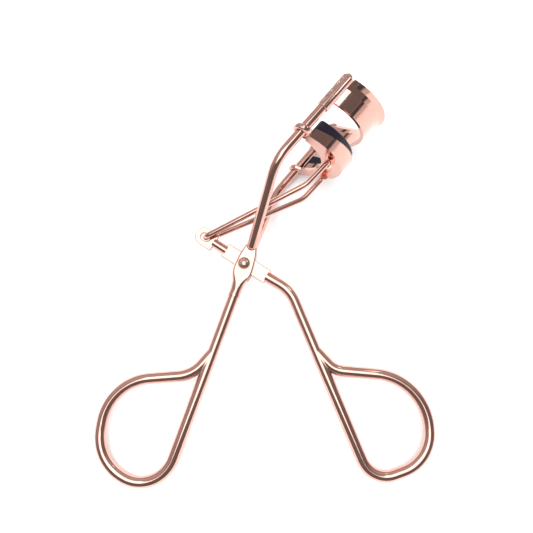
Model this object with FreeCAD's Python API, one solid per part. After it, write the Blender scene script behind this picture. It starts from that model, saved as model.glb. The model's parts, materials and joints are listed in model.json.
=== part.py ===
import FreeCAD, Part
import math
import os

# Eyelash curler in polished wire and sheet metal, lying on its side.
#
# The design frame has the scissor rivet at its origin. X and Y lie in the plane
# of the two handles, with the jaws towards +Y, and Z runs along the rivet.
# Every piece is shaped there, then the whole tool is laid down on its three
# resting points: the far guide eye and the two finger loops.

# Handles
handle_wire_r = 1.45
hub_angle = 70.0            # direction of the frame handle's stem above X
hub_offset = 0.3            # stem axis to the right of the rivet
cheek_inner = 0.8
cheek_outer = 1.95
slot_depth = 3.9            # fork slot below the rivet

# Outline of the hub up its stem: height, half width, half thickness, corner.
# The rows are close and even, so that the smooth surface through them stays true.
hub_sections = [
    (-9.0, 1.48, 1.48, 1.45),
    (-7.9, 1.49, 1.52, 1.44),
    (-6.8, 1.51, 1.59, 1.38),
    (-5.7, 1.57, 1.70, 1.15),
    (-4.6, 1.76, 1.80, 0.85),
    (-3.6, 2.12, 1.89, 0.60),
    (-2.6, 2.36, 1.94, 0.42),
    (-1.4, 2.42, 1.95, 0.36),
    (0.0, 2.35, 1.95, 0.35),
    (1.3, 2.22, 1.95, 0.35),
    (2.6, 2.02, 1.95, 0.35),
    (4.0, 1.68, 1.95, 0.35),
    (5.4, 1.30, 1.88, 0.35),
]
stem_start = -8.0           # where the handle wire begins inside the hub

# Corners of the frame handle: x, y, bend radius
frame_loop = [
    (-20.7, -57.9, 8.5),
    (-36.7, -49.2, 11.4),
    (-33.9, -29.9, 12.6),
    (-13.0, -28.3, 8.6),
    (-8.0, -22.7, 0),
]

# Lever handle: a coined flat with a neck and an ear, then a bent wire
lever_angle = -33.0
lever_offset = 0.4          # lever axis above the rivet
flat_left = -6.3
flat_right = 7.0
flat_half_w = 1.9
flat_half_t = 0.75
neck_r = 1.25
neck_left = -9.4
ear_half_w = 2.42
ear_centre = -12.75
ear_hole = -12.1
plate_corner = 0.35
full_round = 0.98           # of half a width, for rounded ends
plate_edge_r = 0.2          # rounding of the flat's and the ear's edges
plate_overlap = 0.5         # how far neck and wire run into the flats
lever_loop = [
    (11.9, -6.9, 9.2),
    (31.6, -54.3, 6.2),
    (46.5, -49.1, 10.0),
    (45.7, -29.1, 13.8),
    (22.9, -27.1, 6.0),
    (18.5, -22.4, 0),
]

# Rivet
rivet_r = 0.9
rivet_head_r = 1.6
rivet_head_h = 0.75
rivet_seat = 1.88           # floor of the shallow seat under each head
rivet_seat_gap = 0.06
running_gap = 0.06

# Guide rods
rod_r = 1.25
rod_spacing = 30.0
rod_top = (26.05, 43.9)     # where u is zero, in X and Y
slide_angle = 49.5
rod_bend_u = -27.4
rod_bend_r = 11.0
rod_foot = (2.0, 4.5, 1.75)
rod_end_u = -0.55           # centre of the rod's domed end
ferrule_r = 1.55
ferrule_low_u = -10.4
ferrule_high_u = -0.4
ferrule_edge_r = 0.25

# Jaws: arcs about one centre, with rims that slope up towards the front
jaw_centre_v = -3.5
jaw_mid_r = 13.85
rim_slope = math.tan(math.radians(15.5))
upper_half_t = 0.4
upper_low_u = -7.2
upper_high_u = 0.2
flare_h = 2.6
flare_out = 1.15
flare_knee_up = 0.55        # of the flare's height, where it turns outwards
flare_knee_out = 0.3        # of its width, at that height
upper_end_v = 0.4

# Lower jaw at rest
pad_high_u = -12.8
pad_half_w = 1.3
pad_gap = 0.05              # from the channel's walls and floor
wall_high_u = -14.1         # at the front of the jaw
wall_trim_slope = 0.18      # drop of the rim per millimetre back from the front
wall_t = 0.6
channel_low_u = -17.7
channel_end_v = 2.2
pad_end_v = 1.5
plate_t = 0.7
plate_inner_v = 6.6         # inner edge of the slide plate on the centre plane
plate_end_v = 1.45
arm_length = 2.6            # plate's arms to the guide eyes
arm_width = 3.6
arm_inset = 1.4
arm_back = 0.3              # behind the eye's axis
bay_inset = 3.4             # from a rod to the hollow in the plate's back
bay_drop = 0.9              # of that hollow's sides behind the plate's end
eye_r = 2.2
eye_half_h = 0.85
eye_edge_r = 0.6
eye_centre_u = -17.7
eye_gap = 0.05              # from the collar to the channel and pad

# Link: one hairpin of wire
link_r = 0.75
link_ear_half = 2.2
link_kink = (15.9, 19.3, 6.9)
link_kink_r = 6.0
link_pin_u = -16.9
link_pin_v = 8.6
link_top_half = 6.8
link_pin_end = 4.1
link_corner_r = 1.4
lug_inner = 4.5
lug_outer = 5.5
lug_r = 1.3

# Ear slot: the wire's play along the lever
ear_play_out = 0.6
ear_play_in = 0.12
ear_hole_gap = 0.2

# Tilt of the handles' plane that brings both loops and the far eye to the table
rest_tilt = 10.55

# Length of cutting shapes, beyond any piece, and height of a level edge
cut_reach = 60.0
level_height = 0.001

slide_c = math.cos(math.radians(slide_angle))
slide_s = math.sin(math.radians(slide_angle))


def vec(x, y, z=0.0):
    return FreeCAD.Vector(x, y, z)


def slide_point(u, v, n=0.0):
    """A point u along the rods and v out towards the front of the jaws."""
    x = rod_top[0] + slide_c * u + slide_s * v
    y = rod_top[1] + slide_s * u - slide_c * v
    return vec(x, y, n)


def local_point(angle, offset, along, across=0.0):
    """A point in a handle's own directions: along it, and across to its left."""
    a = math.radians(angle)
    side = across + offset
    return vec(
        along * math.cos(a) - side * math.sin(a),
        along * math.sin(a) + side * math.cos(a),
    )


def hub_point(up, right):
    """A point in the fork's directions: up the stem, and right of its axis."""
    return local_point(hub_angle, -hub_offset, up, -right)


def lever_point(along, across=0.0):
    return local_point(lever_angle, lever_offset, along, across)


def corner_arc(before, corner, after, radius):
    """The arc that rounds a corner, as its start, middle and end."""
    to_before = (before - corner).normalize()
    to_after = (after - corner).normalize()
    half = to_before.getAngle(to_after) / 2
    middle = (to_before + to_after).normalize()
    centre = corner + middle * (radius / math.sin(half))
    reach = radius / math.tan(half)
    return corner + to_before * reach, centre - middle * radius, corner + to_after * reach


def rounded_edges(corners, closed=False):
    """Straight runs joined by tangent arcs. Each corner is (point, radius)."""
    count = len(corners)
    pieces = []
    for i in range(count):
        point, radius = corners[i]
        if radius > 0:
            before = corners[i - 1][0]
            after = corners[(i + 1) % count][0]
            pieces.append(corner_arc(before, point, after, radius))
        else:
            pieces.append((point, None, point))
    edges = []
    for i in range(count):
        start, middle, end = pieces[i]
        if middle is not None:
            edges.append(Part.Arc(start, middle, end).toShape())
        if i + 1 < count or closed:
            edges.append(Part.makeLine(end, pieces[(i + 1) % count][0]))
    return edges


def sweep(edges, radius):
    """Round wire along a path of tangent edges."""
    path = Part.Wire(edges)
    first = path.OrderedEdges[0]
    start = first.valueAt(first.FirstParameter)
    tangent = first.tangentAt(first.FirstParameter)
    ring = Part.Wire(Part.makeCircle(radius, start, tangent))
    return path.makePipeShell([ring], True, False)


def slab(corners, low, high):
    """A plate with a rounded outline, between two heights on Z."""
    face = Part.Face(Part.Wire(rounded_edges(corners, closed=True)))
    face.translate(vec(0, 0, low))
    return face.extrude(vec(0, 0, high - low))


def finger_loop(start, loop):
    """Handle wire whose end comes back and is brazed to its own stem."""
    corners = [(start, 0)] + [(vec(x, y), r) for x, y, r in loop]
    edges = rounded_edges(corners)
    return sweep(edges[:-2], handle_wire_r).fuse(sweep(edges[-2:], handle_wire_r))


def rivet_hole(radius):
    return Part.makeCylinder(radius, 4 * cheek_outer, vec(0, 0, -2 * cheek_outer))


def hub_section(up, half_w, half_t, corner):
    """Rounded outline across the stem at one height."""
    sides = ((-half_w, -half_t), (half_w, -half_t), (half_w, half_t), (-half_w, half_t))
    corners = [(hub_point(up, right) + vec(0, 0, z), corner) for right, z in sides]
    return Part.Wire(rounded_edges(corners, closed=True))


def frame_fork():
    """The stem's forged end: two cheeks with a slot for the lever between them."""
    body = Part.makeLoft([hub_section(*section) for section in hub_sections], True, False)
    corner = vec(-slot_depth, -cut_reach / 2, -cheek_inner)
    slot = Part.makeBox(cut_reach, cut_reach, 2 * cheek_inner, corner)
    slot.rotate(vec(0, 0, 0), vec(0, 0, 1), hub_angle)
    return body.cut(slot)


def rivet_seat_space(side):
    """The spotface that a rivet head sits in."""
    foot = vec(0, 0, side * rivet_seat)
    return Part.makeCylinder(rivet_head_r + rivet_seat_gap, rivet_head_h, foot, vec(0, 0, side))


def frame_handle():
    stem = finger_loop(hub_point(stem_start, 0), frame_loop)
    body = stem.fuse(frame_fork()).cut(rivet_hole(rivet_r))
    for side in (1, -1):
        body = body.cut(rivet_seat_space(side))
    return body.removeSplitter()


def softened(plate):
    """A plate with both its outlines rounded over."""
    outlines = [e for e in plate.Edges if e.BoundBox.ZLength < level_height]
    return plate.makeFillet(plate_edge_r, outlines)


def lever_plate(left, right, half_w, left_corner, right_corner, half_t):
    """Rounded rectangle along the lever."""
    corners = [
        (lever_point(left, -half_w), left_corner),
        (lever_point(right, -half_w), right_corner),
        (lever_point(right, half_w), right_corner),
        (lever_point(left, half_w), left_corner),
    ]
    return slab(corners, -half_t, half_t)


def lever_ear():
    """Rounded tab with a slot long enough for the link wire's play."""
    end = ear_centre - ear_half_w
    end_corner = full_round * ear_half_w
    tab = lever_plate(end, neck_left, ear_half_w, end_corner, plate_corner, flat_half_t)
    r = link_r + ear_hole_gap
    low = ear_hole - ear_play_out - r
    high = ear_hole + ear_play_in + r
    slot = lever_plate(low, high, r, full_round * r, full_round * r, 2 * flat_half_t)
    return softened(tab.cut(slot))


def lever_handle():
    flat = softened(
        lever_plate(flat_left, flat_right, flat_half_w, plate_corner, plate_corner, flat_half_t)
    )
    neck_start = lever_point(flat_left + plate_overlap)
    neck_axis = lever_point(neck_left - plate_overlap) - neck_start
    neck = Part.makeCylinder(neck_r, neck_axis.Length, neck_start, neck_axis)
    wire = finger_loop(lever_point(flat_right - plate_overlap), lever_loop)
    body = wire.fuse([flat, neck, lever_ear()]).removeSplitter()
    return body.cut(rivet_hole(rivet_r + running_gap))


def pivot_rivet():
    """Solid rivet with a dome on each cheek."""
    shank = Part.makeCylinder(rivet_r, 2 * rivet_seat, vec(0, 0, -rivet_seat))
    ball_r = (rivet_head_r ** 2 + rivet_head_h ** 2) / (2 * rivet_head_h)
    ball = Part.makeSphere(ball_r, vec(0, 0, rivet_seat + rivet_head_h - ball_r))
    dome = ball.common(Part.makeCylinder(rivet_head_r, rivet_head_h, vec(0, 0, rivet_seat)))
    far_dome = dome.mirror(vec(0, 0, 0), vec(0, 0, 1))
    return shank.fuse([dome, far_dome]).removeSplitter()


def guide_rod(side, fork):
    """Rod that spreads from its cheek, then runs straight beside the jaws."""
    half = side * rod_spacing / 2
    foot = vec(rod_foot[0], rod_foot[1], side * rod_foot[2])
    corners = [
        (foot, 0),
        (slide_point(rod_bend_u, 0, half), rod_bend_r),
        (slide_point(rod_end_u, 0, half), 0),
    ]
    ends = [Part.makeSphere(rod_r, corners[i][0]) for i in (0, -1)]
    rod = sweep(rounded_edges(corners), rod_r).fuse(ends)
    corner = vec(-cut_reach / 2, -cut_reach / 2, -cheek_inner)
    slot = Part.makeBox(cut_reach, cut_reach, 2 * cheek_inner, corner)
    return rod.cut(fork).cut(slot).removeSplitter()


def slide_cylinder(radius, low, high, side):
    start = slide_point(low, 0, side * rod_spacing / 2)
    return Part.makeCylinder(radius, high - low, start, vec(slide_c, slide_s, 0))


def rod_space(radius, side):
    """A bore about a rod's straight, longer than anything that it cuts."""
    return slide_cylinder(radius, -cut_reach / 2, cut_reach / 2, side)


def round_edges(body):
    return [e for e in body.Edges if e.Curve.TypeId == "Part::GeomCircle"]


def ferrule(side):
    """Crimped sleeve that holds the upper jaw's edge to the rod."""
    body = slide_cylinder(ferrule_r, ferrule_low_u, ferrule_high_u, side)
    return body.makeFillet(ferrule_edge_r, round_edges(body)).cut(rod_space(rod_r, side))


def front_part(end_v):
    """Everything in front of a line across the jaws, in the ring's own directions."""
    corner = vec(end_v - jaw_centre_v, -cut_reach / 2, -cut_reach / 2)
    return Part.makeBox(cut_reach, cut_reach, cut_reach, corner)


def jaw_ring(profile, end_v):
    """A profile of (radius, u) turned round the jaw centre, its rims sloped to the front."""
    points = [vec(r, 0, u) for r, u in profile]
    face = Part.Face(Part.Wire(Part.makePolygon(points + [points[0]]).Edges))
    ring = face.revolve(vec(0, 0, 0), vec(0, 0, 1), 180)
    ring.rotate(vec(0, 0, 0), vec(0, 0, 1), -90)
    return ring.common(front_part(end_v))


def place_jaw(shape):
    """From (v from the jaw centre, -Z, u) to the design frame, with the rim slope."""
    slope = FreeCAD.Matrix()
    slope.A31 = rim_slope
    slope.A34 = rim_slope * jaw_centre_v
    sloped = shape.transformGeometry(slope)
    origin = slide_point(0, jaw_centre_v)
    placed = FreeCAD.Matrix(
        slide_s, 0, slide_c, origin.x,
        -slide_c, 0, slide_s, origin.y,
        0, -1, 0, 0,
        0, 0, 0, 1,
    )
    return sloped.transformShape(placed, True)


def clear_of_rods(shape):
    """Hollow out the ends that come near the rods and their collars."""
    for side in (1, -1):
        shape = shape.cut(rod_space(eye_r + eye_gap, side))
    return shape


def upper_jaw():
    inner = jaw_mid_r - upper_half_t
    outer = jaw_mid_r + upper_half_t
    flare_u = upper_high_u - flare_h
    knee_out = flare_knee_out * flare_out
    knee_u = flare_u + flare_knee_up * flare_h
    profile = [
        (inner, upper_low_u),
        (outer, upper_low_u),
        (outer, flare_u),
        (outer + knee_out, knee_u),
        (outer + flare_out, upper_high_u),
        (inner + flare_out, upper_high_u),
        (inner + knee_out, knee_u),
        (inner, flare_u),
    ]
    jaw = place_jaw(jaw_ring(profile, upper_end_v))
    for side in (1, -1):
        jaw = jaw.cut(rod_space(ferrule_r, side))
    return jaw


def above_wall_rim():
    """Everything over the channel's sloping rim, in the ring's own directions."""
    front = jaw_mid_r + pad_half_w + wall_t
    wide = 2 * front
    outline = [
        vec(0, wide, wall_high_u - wall_trim_slope * front),
        vec(front, wide, wall_high_u),
        vec(front, wide, 0),
        vec(0, wide, 0),
    ]
    face = Part.Face(Part.makePolygon(outline + [outline[0]]))
    return face.extrude(vec(0, -2 * wide, 0))


def pad_channel():
    """U-section that holds the pad."""
    inner = jaw_mid_r - pad_half_w
    outer = jaw_mid_r + pad_half_w
    profile = [
        (inner - wall_t, channel_low_u),
        (outer + wall_t, channel_low_u),
        (outer + wall_t, wall_high_u),
        (outer, wall_high_u),
        (outer, channel_low_u + wall_t),
        (inner, channel_low_u + wall_t),
        (inner, wall_high_u),
        (inner - wall_t, wall_high_u),
    ]
    ring = jaw_ring(profile, channel_end_v).cut(above_wall_rim())
    return clear_of_rods(place_jaw(ring))


def silicone_pad():
    inner = jaw_mid_r - pad_half_w + pad_gap
    outer = jaw_mid_r + pad_half_w - pad_gap
    low = channel_low_u + wall_t + pad_gap
    profile = [(inner, low), (outer, low), (outer, pad_high_u), (inner, pad_high_u)]
    return clear_of_rods(place_jaw(jaw_ring(profile, pad_end_v)))


def plate_bay(low):
    """The hollow in the back of the slide plate, with a curved front edge."""
    side_n = rod_spacing / 2 - bay_inset
    side_v = plate_end_v - bay_drop - jaw_centre_v
    middle = vec(plate_inner_v - jaw_centre_v, 0)
    front = Part.Arc(vec(side_v, -side_n), middle, vec(side_v, side_n)).toShape()
    corners = [
        vec(side_v, side_n),
        vec(-side_v, side_n),
        vec(-side_v, -side_n),
        vec(side_v, -side_n),
    ]
    face = Part.Face(Part.Wire([front] + Part.makePolygon(corners).Edges))
    face.translate(vec(0, 0, low - plate_t))
    return face.extrude(vec(0, 0, 3 * plate_t))


def slide_plate():
    """Crescent under the channel, reaching out to the two guide eyes."""
    outer = jaw_mid_r + pad_half_w + wall_t
    low = channel_low_u - plate_t
    crescent = Part.makeCylinder(outer, plate_t, vec(0, 0, low)).common(front_part(plate_end_v))
    for side in (1, -1):
        across = side * (rod_spacing / 2 - arm_inset) - arm_width / 2
        corner = vec(-jaw_centre_v - arm_back, across, low)
        crescent = crescent.fuse(Part.makeBox(arm_length, arm_width, plate_t, corner))
    plate = place_jaw(crescent.cut(plate_bay(low)).removeSplitter())
    for side in (1, -1):
        plate = plate.cut(rod_space(eye_r, side))
    return plate


def guide_eye(side):
    """Collar that slides on a rod, brazed to the slide plate and sloped with it."""
    centre = vec(-jaw_centre_v, -side * rod_spacing / 2, eye_centre_u - eye_half_h)
    body = Part.makeCylinder(eye_r, 2 * eye_half_h, centre)
    body = body.makeFillet(eye_edge_r, round_edges(body))
    return place_jaw(body).cut(rod_space(rod_r + running_gap, side))


def link_lug(side, plate):
    """Tab under the slide plate with a hole for the link's end."""
    low = min(side * lug_inner, side * lug_outer)
    width = lug_outer - lug_inner
    pin = slide_point(link_pin_u, link_pin_v, low)
    end = Part.makeCylinder(lug_r, width, pin, vec(0, 0, 1))
    web_low = link_pin_u - rim_slope * link_pin_v
    web_high = channel_low_u - plate_t
    corner = vec(link_pin_v - jaw_centre_v - lug_r, -low - width, web_low)
    web = place_jaw(Part.makeBox(2 * lug_r, width, web_high - web_low, corner))
    pin_hole = Part.makeCylinder(link_r + running_gap, 3 * width, pin - vec(0, 0, width))
    return end.fuse(web).cut(plate).cut(pin_hole).removeSplitter()


def link_wire():
    """Hairpin through the ear, kinked towards the jaw, its ends turned into the lugs."""
    ear = lever_point(ear_hole)
    pin = slide_point(link_pin_u, link_pin_v)
    corners = []
    for side in (1, -1):
        leg = [
            (vec(pin.x, pin.y, side * link_pin_end), 0),
            (vec(pin.x, pin.y, side * link_top_half), link_corner_r),
            (vec(link_kink[0], link_kink[1], side * link_kink[2]), link_kink_r),
            (vec(ear.x, ear.y, side * link_ear_half), link_corner_r),
        ]
        if side < 0:
            leg.reverse()
        corners += leg
    return sweep(rounded_edges(corners), link_r)


def design_pieces():
    frame = frame_handle()
    plate = slide_plate()
    pieces = {
        "frame_handle": frame,
        "pivot_rivet": pivot_rivet(),
        "upper_jaw": upper_jaw(),
        "lever_handle": lever_handle(),
        "slide_plate": plate,
        "pad_channel": pad_channel(),
        "silicone_pad": silicone_pad(),
        "link_wire": link_wire(),
    }
    for name, side in (("near", 1), ("far", -1)):
        pieces[name + "_guide_rod"] = guide_rod(side, frame)
        pieces[name + "_ferrule"] = ferrule(side)
        pieces[name + "_guide_eye"] = guide_eye(side)
        pieces[name + "_link_lug"] = link_lug(side, plate)
    return pieces


def lay_down(pieces):
    """The placement that rests the tool on its side, centred over its footprint."""
    tilt = FreeCAD.Placement(vec(0, 0, 0), FreeCAD.Rotation(vec(1, 0, 0), rest_tilt))
    whole = Part.makeCompound(list(pieces.values()))
    whole.Placement = tilt
    box = whole.optimalBoundingBox(False, False)
    return FreeCAD.Placement(vec(-box.Center.x, -box.Center.y, -box.ZMin), tilt.Rotation)


def main():
    os.makedirs("parts", exist_ok=True)
    pieces = design_pieces()
    laid = lay_down(pieces)
    for name, shape in pieces.items():
        shape.transformShape(laid.Matrix, True)
        shape.exportStep("parts/" + name + ".step")


main()
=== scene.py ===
import json
import math
import random

import bmesh
import bpy
from mathutils import Matrix, Vector


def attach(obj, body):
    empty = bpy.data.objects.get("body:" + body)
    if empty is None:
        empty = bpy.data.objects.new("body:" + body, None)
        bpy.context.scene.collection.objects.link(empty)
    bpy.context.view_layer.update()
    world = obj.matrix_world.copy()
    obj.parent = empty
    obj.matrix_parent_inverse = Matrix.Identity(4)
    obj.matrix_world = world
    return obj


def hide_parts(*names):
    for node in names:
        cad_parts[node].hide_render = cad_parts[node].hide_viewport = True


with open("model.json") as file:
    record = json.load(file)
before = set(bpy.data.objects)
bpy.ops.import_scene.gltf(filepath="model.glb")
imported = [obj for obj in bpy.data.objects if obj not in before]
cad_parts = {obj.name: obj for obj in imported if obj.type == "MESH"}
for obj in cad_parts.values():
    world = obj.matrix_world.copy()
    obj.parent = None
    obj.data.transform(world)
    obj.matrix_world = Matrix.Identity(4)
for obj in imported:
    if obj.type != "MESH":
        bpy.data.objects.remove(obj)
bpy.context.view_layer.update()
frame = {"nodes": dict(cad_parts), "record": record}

MM = 0.001
SHARP = math.radians(28)
WELD = 0.0005 * MM

# Where the guide rods' straights end, and how far each is from the middle plane
ROD_TOP = (26.05, 43.9)
ROD_HALF_SPACING = 15.0

# Voxel sizes of the remeshed pieces, and how often each is relaxed
PAD_VOXEL = 0.14 * MM
PAD_PASSES = 24
BRAZE_VOXEL = 0.12 * MM
BRAZE_PASSES = 30
BRAZE_REACH = 3.4 * MM
SEAM_VOXEL = 0.11 * MM
SEAM_PASSES = 3

# Braze along a ferrule: from and to along the rod, and out from its axis
SEAM_START = -10.0
SEAM_END = -1.4
SEAM_OUT = 1.32

# Sensor and lens in millimetres
SENSOR_WIDTH = 36.0
LENS = 36.40525

# The room's brightness from behind the jaws round to the viewer's side
ROOM_TONES = [(0.10, 0.62), (0.42, 0.42), (0.56, 0.22), (0.90, 0.18)]
# and from the horizon up, to where the room's own tones take over
HORIZON_TONES = [(0.00, 0.80), (0.10, 0.80), (0.13, 0.08), (0.23, 0.08), (0.30, 0.5)]
HORIZON_BLEND = [(0.23, 0.0), (0.30, 1.0)]

# ---------------------------------------------------------------- frame of the tool
# The rivet joint gives the design frame: X, then Q up towards the jaws, then N
# along the rivet towards the viewer. U runs along the guide rods and OUT towards
# the front of the jaws.
squeeze = next(j for j in frame["record"]["behaviour"]["joints"] if j["name"] == "handle_squeeze")
slide = next(j for j in frame["record"]["behaviour"]["joints"] if j["name"] == "jaw_slide")
PIVOT = Vector(squeeze["pos_m"])
X = Vector((1, 0, 0))
N = -Vector(squeeze["axis"]).normalized()
Q = N.cross(X).normalized()
U = Vector(slide["axis"]).normalized()
OUT = U.cross(N).normalized()


def at(p, q, n=0.0):
    """A point p, q, n millimetres from the rivet, in the row frame."""
    return PIVOT + MM * (p * X + q * Q + n * N)


def along(p, q, n=0.0):
    """A direction in the row frame."""
    return (p * X + q * Q + n * N).normalized()


def rod_point(side, u):
    """A point u millimetres along the near (1) or far (-1) guide rod from its top."""
    return at(*ROD_TOP, side * ROD_HALF_SPACING) + MM * u * U


# ---------------------------------------------------------------- node helpers
def new_material(name):
    """A material with one shader, and its node tree."""
    mat = bpy.data.materials.new(name)
    mat.use_nodes = True
    tree = mat.node_tree
    tree.nodes.clear()
    out = tree.nodes.new("ShaderNodeOutputMaterial")
    shader = tree.nodes.new("ShaderNodeBsdfPrincipled")
    tree.links.new(shader.outputs["BSDF"], out.inputs["Surface"])
    return mat, tree, shader


def noise(tree, scale, detail):
    """Noise fixed to the object, between 0 and 1."""
    coords = tree.nodes.new("ShaderNodeTexCoord")
    node = tree.nodes.new("ShaderNodeTexNoise")
    node.inputs["Scale"].default_value = scale
    node.inputs["Detail"].default_value = detail
    tree.links.new(coords.outputs["Object"], node.inputs["Vector"])
    return node.outputs["Fac"]


def ramp(tree, factor, stops):
    """Colours laid along a factor. Each stop is (position, colour)."""
    node = tree.nodes.new("ShaderNodeValToRGB")
    elements = node.color_ramp.elements
    while len(elements) < len(stops):
        elements.new(0.5)
    for element, (position, colour) in zip(elements, stops):
        element.position = position
        element.color = (*colour, 1.0)
    tree.links.new(factor, node.inputs["Fac"])
    return node.outputs["Color"]


def spread(tree, factor, low, high):
    """The middle of a noise's range stretched from low to high."""
    node = tree.nodes.new("ShaderNodeMapRange")
    node.inputs["From Min"].default_value = 0.3
    node.inputs["From Max"].default_value = 0.7
    node.inputs["To Min"].default_value = low
    node.inputs["To Max"].default_value = high
    tree.links.new(factor, node.inputs["Value"])
    return node.outputs["Result"]


def bump(tree, shader, height, strength, distance):
    """Fine relief under the shader's normal."""
    node = tree.nodes.new("ShaderNodeBump")
    node.inputs["Strength"].default_value = strength
    node.inputs["Distance"].default_value = distance
    tree.links.new(height, node.inputs["Height"])
    tree.links.new(node.outputs["Normal"], shader.inputs["Normal"])


def plated(name, pale, deep, smooth, worn, ripple, scale=320.0):
    """Polished plating: slow colour drift, finer roughness patches, faint ripple."""
    mat, tree, shader = new_material(name)
    shader.inputs["Metallic"].default_value = 1.0
    drift = noise(tree, scale, 4.0)
    tree.links.new(ramp(tree, drift, [(0.32, deep), (0.68, pale)]), shader.inputs["Base Color"])
    patches = noise(tree, 4.0 * scale, 5.0)
    tree.links.new(spread(tree, patches, smooth, worn), shader.inputs["Roughness"])
    bump(tree, shader, noise(tree, 2.2 * scale, 2.0), ripple, 0.00004)
    return mat


def satin_rubber(name):
    """Near-black rubber with a soft, slightly grained sheen."""
    mat, tree, shader = new_material(name)
    shader.inputs["Specular IOR Level"].default_value = 0.3
    cloud = noise(tree, 500.0, 4.0)
    colour = ramp(tree, cloud, [(0.3, (0.007, 0.004, 0.011)), (0.7, (0.013, 0.009, 0.020))])
    tree.links.new(colour, shader.inputs["Base Color"])
    tree.links.new(spread(tree, noise(tree, 2600.0, 3.0), 0.34, 0.5), shader.inputs["Roughness"])
    bump(tree, shader, noise(tree, 7000.0, 2.0), 0.35, 0.00002)
    return mat


WIRE = plated("wire_metal", (0.78, 0.45, 0.38), (0.72, 0.40, 0.33), 0.05, 0.11, 0.10)
SHEET = plated("sheet_metal", (0.75, 0.43, 0.36), (0.70, 0.39, 0.32), 0.06, 0.13, 0.12, 220.0)
FITTING = plated("fittings_metal", (0.76, 0.47, 0.41), (0.68, 0.40, 0.34), 0.10, 0.20, 0.25, 650.0)
RIVET = plated("rivet_metal", (0.93, 0.61, 0.50), (0.85, 0.51, 0.41), 0.16, 0.24, 0.15, 700.0)
BRAZE = plated("braze_metal", (0.84, 0.57, 0.45), (0.66, 0.41, 0.32), 0.10, 0.26, 0.5, 900.0)
RUBBER = satin_rubber("silicone")

MATERIALS = {"wire_metal": WIRE, "sheet_metal": SHEET, "fittings_metal": FITTING,
             "rivet_metal": RIVET, "silicone": RUBBER}


# ---------------------------------------------------------------- mesh helpers
def smooth_by_angle(obj):
    obj.data.polygons.foreach_set("use_smooth", [True] * len(obj.data.polygons))
    obj.data.set_sharp_from_angle(angle=SHARP)


def welded_copy(node):
    """A closed bmesh of a CAD node, its split vertices merged."""
    mesh = bmesh.new()
    mesh.from_mesh(frame["nodes"][node].data)
    bmesh.ops.remove_doubles(mesh, verts=mesh.verts, dist=WELD)
    return mesh


def new_object(name, mesh):
    data = bpy.data.meshes.new(name)
    mesh.to_mesh(data)
    mesh.free()
    obj = bpy.data.objects.new(name, data)
    bpy.context.scene.collection.objects.link(obj)
    return obj


def apply_modifiers(obj):
    """Replace the mesh by its modified form."""
    graph = bpy.context.evaluated_depsgraph_get()
    data = bpy.data.meshes.new_from_object(obj.evaluated_get(graph))
    obj.modifiers.clear()
    obj.data = data


def remeshed(obj, voxel, passes):
    """One closed skin over the mesh, its edges relaxed."""
    remesh = obj.modifiers.new("voxels", "REMESH")
    remesh.mode = "VOXEL"
    remesh.voxel_size = voxel
    apply_modifiers(obj)
    relax = obj.modifiers.new("relax", "SMOOTH")
    relax.factor = 0.5
    relax.iterations = passes
    apply_modifiers(obj)
    obj.data.polygons.foreach_set("use_smooth", [True] * len(obj.data.polygons))


def finish_braze(obj, body):
    obj.data.materials.append(BRAZE)
    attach(obj, body)


def braze(name, node, centre, body):
    """A fillet where a handle's wire meets its own stem, relaxed into the corner."""
    part = new_object(name, welded_copy(node))
    ball = bmesh.new()
    bmesh.ops.create_icosphere(ball, subdivisions=4, radius=BRAZE_REACH,
                               matrix=Matrix.Translation(centre))
    cutter = new_object(name + "_ball", ball)
    cut = part.modifiers.new("cut", "BOOLEAN")
    cut.operation = "INTERSECT"
    cut.solver = "EXACT"
    cut.object = cutter
    apply_modifiers(part)
    bpy.data.objects.remove(cutter)
    remeshed(part, BRAZE_VOXEL, BRAZE_PASSES)
    finish_braze(part, body)


def seam_bead(name, side):
    """A rippled run of braze along the outer side of a ferrule."""
    rng = random.Random(7 if side > 0 else 11)
    facing = 0.80 * N * side - 0.60 * OUT
    union = bmesh.new()
    u = SEAM_START
    while u < SEAM_END:
        radius = rng.uniform(0.38, 0.58)
        drift = rng.uniform(-0.2, 0.2)
        spot = rod_point(side, u) + MM * (SEAM_OUT * facing + drift * N * side)
        bmesh.ops.create_icosphere(union, subdivisions=2, radius=radius * MM,
                                   matrix=Matrix.Translation(spot))
        u += rng.uniform(0.5, 0.95)
    obj = new_object(name, union)
    remeshed(obj, SEAM_VOXEL, SEAM_PASSES)
    finish_braze(obj, "frame")


# ---------------------------------------------------------------- CAD nodes
slots = {s["node"]: s["material_slot"] for s in frame["record"]["subparts"]}
for node, obj in frame["nodes"].items():
    obj.data.materials.clear()
    obj.data.materials.append(MATERIALS[slots[node]])
    smooth_by_angle(obj)

# ---------------------------------------------------------------- the pad
pad = new_object("lash_pad", welded_copy("silicone_pad"))
remeshed(pad, PAD_VOXEL, PAD_PASSES)
pad.data.materials.append(RUBBER)
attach(pad, "lower_jaw")
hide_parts("silicone_pad")

# ---------------------------------------------------------------- braze
braze("frame_loop_braze", "frame_handle", at(-10.2, -25.2), "frame")
braze("lever_loop_braze", "lever_handle", at(20.2, -24.4), "lever")
seam_bead("near_ferrule_seam", 1)
seam_bead("far_ferrule_seam", -1)


# ---------------------------------------------------------------- stage
def grey(value):
    return (value, value, value)


def greys(tones):
    return [(position, grey(value)) for position, value in tones]


def make_floor():
    """A plain pale table, much wider than the view."""
    mesh = bmesh.new()
    bmesh.ops.create_grid(mesh, x_segments=8, y_segments=8, size=1.5)
    obj = new_object("studio_floor", mesh)
    mat, tree, shader = new_material("floor_white")
    tone = noise(tree, 3.0, 2.0)
    colour = ramp(tree, tone, [(0.3, grey(0.90)), (0.7, grey(0.92))])
    tree.links.new(colour, shader.inputs["Base Color"])
    shader.inputs["Roughness"].default_value = 0.9
    obj.data.materials.append(mat)


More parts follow.
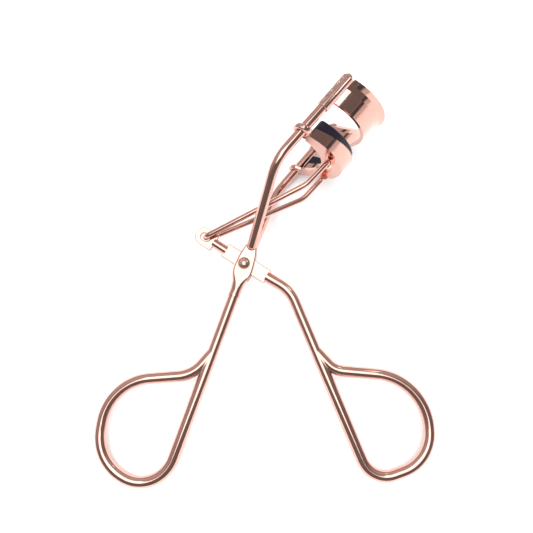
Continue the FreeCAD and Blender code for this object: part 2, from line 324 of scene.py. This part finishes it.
def area_light(name, place, target, size_x, size_y, power, side=X, in_reflections=True,
               colour=grey(1.0)):
    """A rectangular lamp at a place, facing a target, its first side along side."""
    data = bpy.data.lights.new(name, "AREA")
    data.shape = "RECTANGLE"
    data.size = size_x
    data.size_y = size_y
    data.energy = power
    data.color = colour
    obj = bpy.data.objects.new(name, data)
    back = (place - target).normalized()
    across = (side - side.dot(back) * back).normalized()
    axes = Matrix((across, back.cross(across), back)).transposed().to_4x4()
    obj.matrix_world = Matrix.Translation(place) @ axes
    obj.visible_glossy = in_reflections
    obj.visible_camera = False
    bpy.context.scene.collection.objects.link(obj)


def make_world():
    """A room that is darker on the viewer's side, with a dark line over a pale horizon."""
    world = bpy.data.worlds.new("studio")
    bpy.context.scene.world = world
    world.use_nodes = True
    tree = world.node_tree
    coords = tree.nodes.new("ShaderNodeTexCoord")
    toward = tree.nodes.new("ShaderNodeVectorMath")
    toward.operation = "DOT_PRODUCT"
    toward.inputs[1].default_value = along(0.35, -0.94)
    tree.links.new(coords.outputs["Generated"], toward.inputs[0])
    side = tree.nodes.new("ShaderNodeMapRange")
    side.inputs["From Min"].default_value = -1.0
    side.inputs["From Max"].default_value = 1.0
    tree.links.new(toward.outputs["Value"], side.inputs["Value"])
    room = ramp(tree, side.outputs["Result"], greys(ROOM_TONES))
    split = tree.nodes.new("ShaderNodeSeparateXYZ")
    tree.links.new(coords.outputs["Generated"], split.inputs["Vector"])
    low = ramp(tree, split.outputs["Z"], greys(HORIZON_TONES))
    above = ramp(tree, split.outputs["Z"], greys(HORIZON_BLEND))
    mix = tree.nodes.new("ShaderNodeMix")
    mix.data_type = "RGBA"
    tree.links.new(above, mix.inputs[0])
    tree.links.new(low, mix.inputs[6])
    tree.links.new(room, mix.inputs[7])
    tree.links.new(mix.outputs[2], tree.nodes["Background"].inputs["Color"])


make_floor()
make_world()
area_light("overhead_softbox", at(-8, 25, 420), at(-2, 5), 0.29, 0.31, 0.66,
           colour=(0.86, 0.97, 1.0))
area_light("jaw_card", at(57.3, 42.5, 51), at(24, 40, 13), 0.014, 0.011, 0.0018, side=U)
area_light("room_fill", at(0, 0, 700), at(0, 0), 1.6, 1.6, 14.7, in_reflections=False)

bpy.context.scene.view_settings.view_transform = "Standard"

# ---------------------------------------------------------------- camera
def make_camera():
    """The photo's viewpoint, over the handles and looking almost straight down."""
    data = bpy.data.cameras.new("camera")
    data.sensor_width = SENSOR_WIDTH
    data.lens = LENS
    data.clip_start = 0.01
    camera = bpy.data.objects.new("camera", data)
    forward = along(-0.0086, 0.1409, -0.9900)
    right = forward.cross(along(0.0012, 0.9900, 0.1409)).normalized()
    turn = Matrix((right, right.cross(forward), -forward)).transposed().to_4x4()
    camera.matrix_world = Matrix.Translation(at(6.98, -20.32, 138.6)) @ turn
    bpy.context.scene.collection.objects.link(camera)
    bpy.context.scene.camera = camera


make_camera()
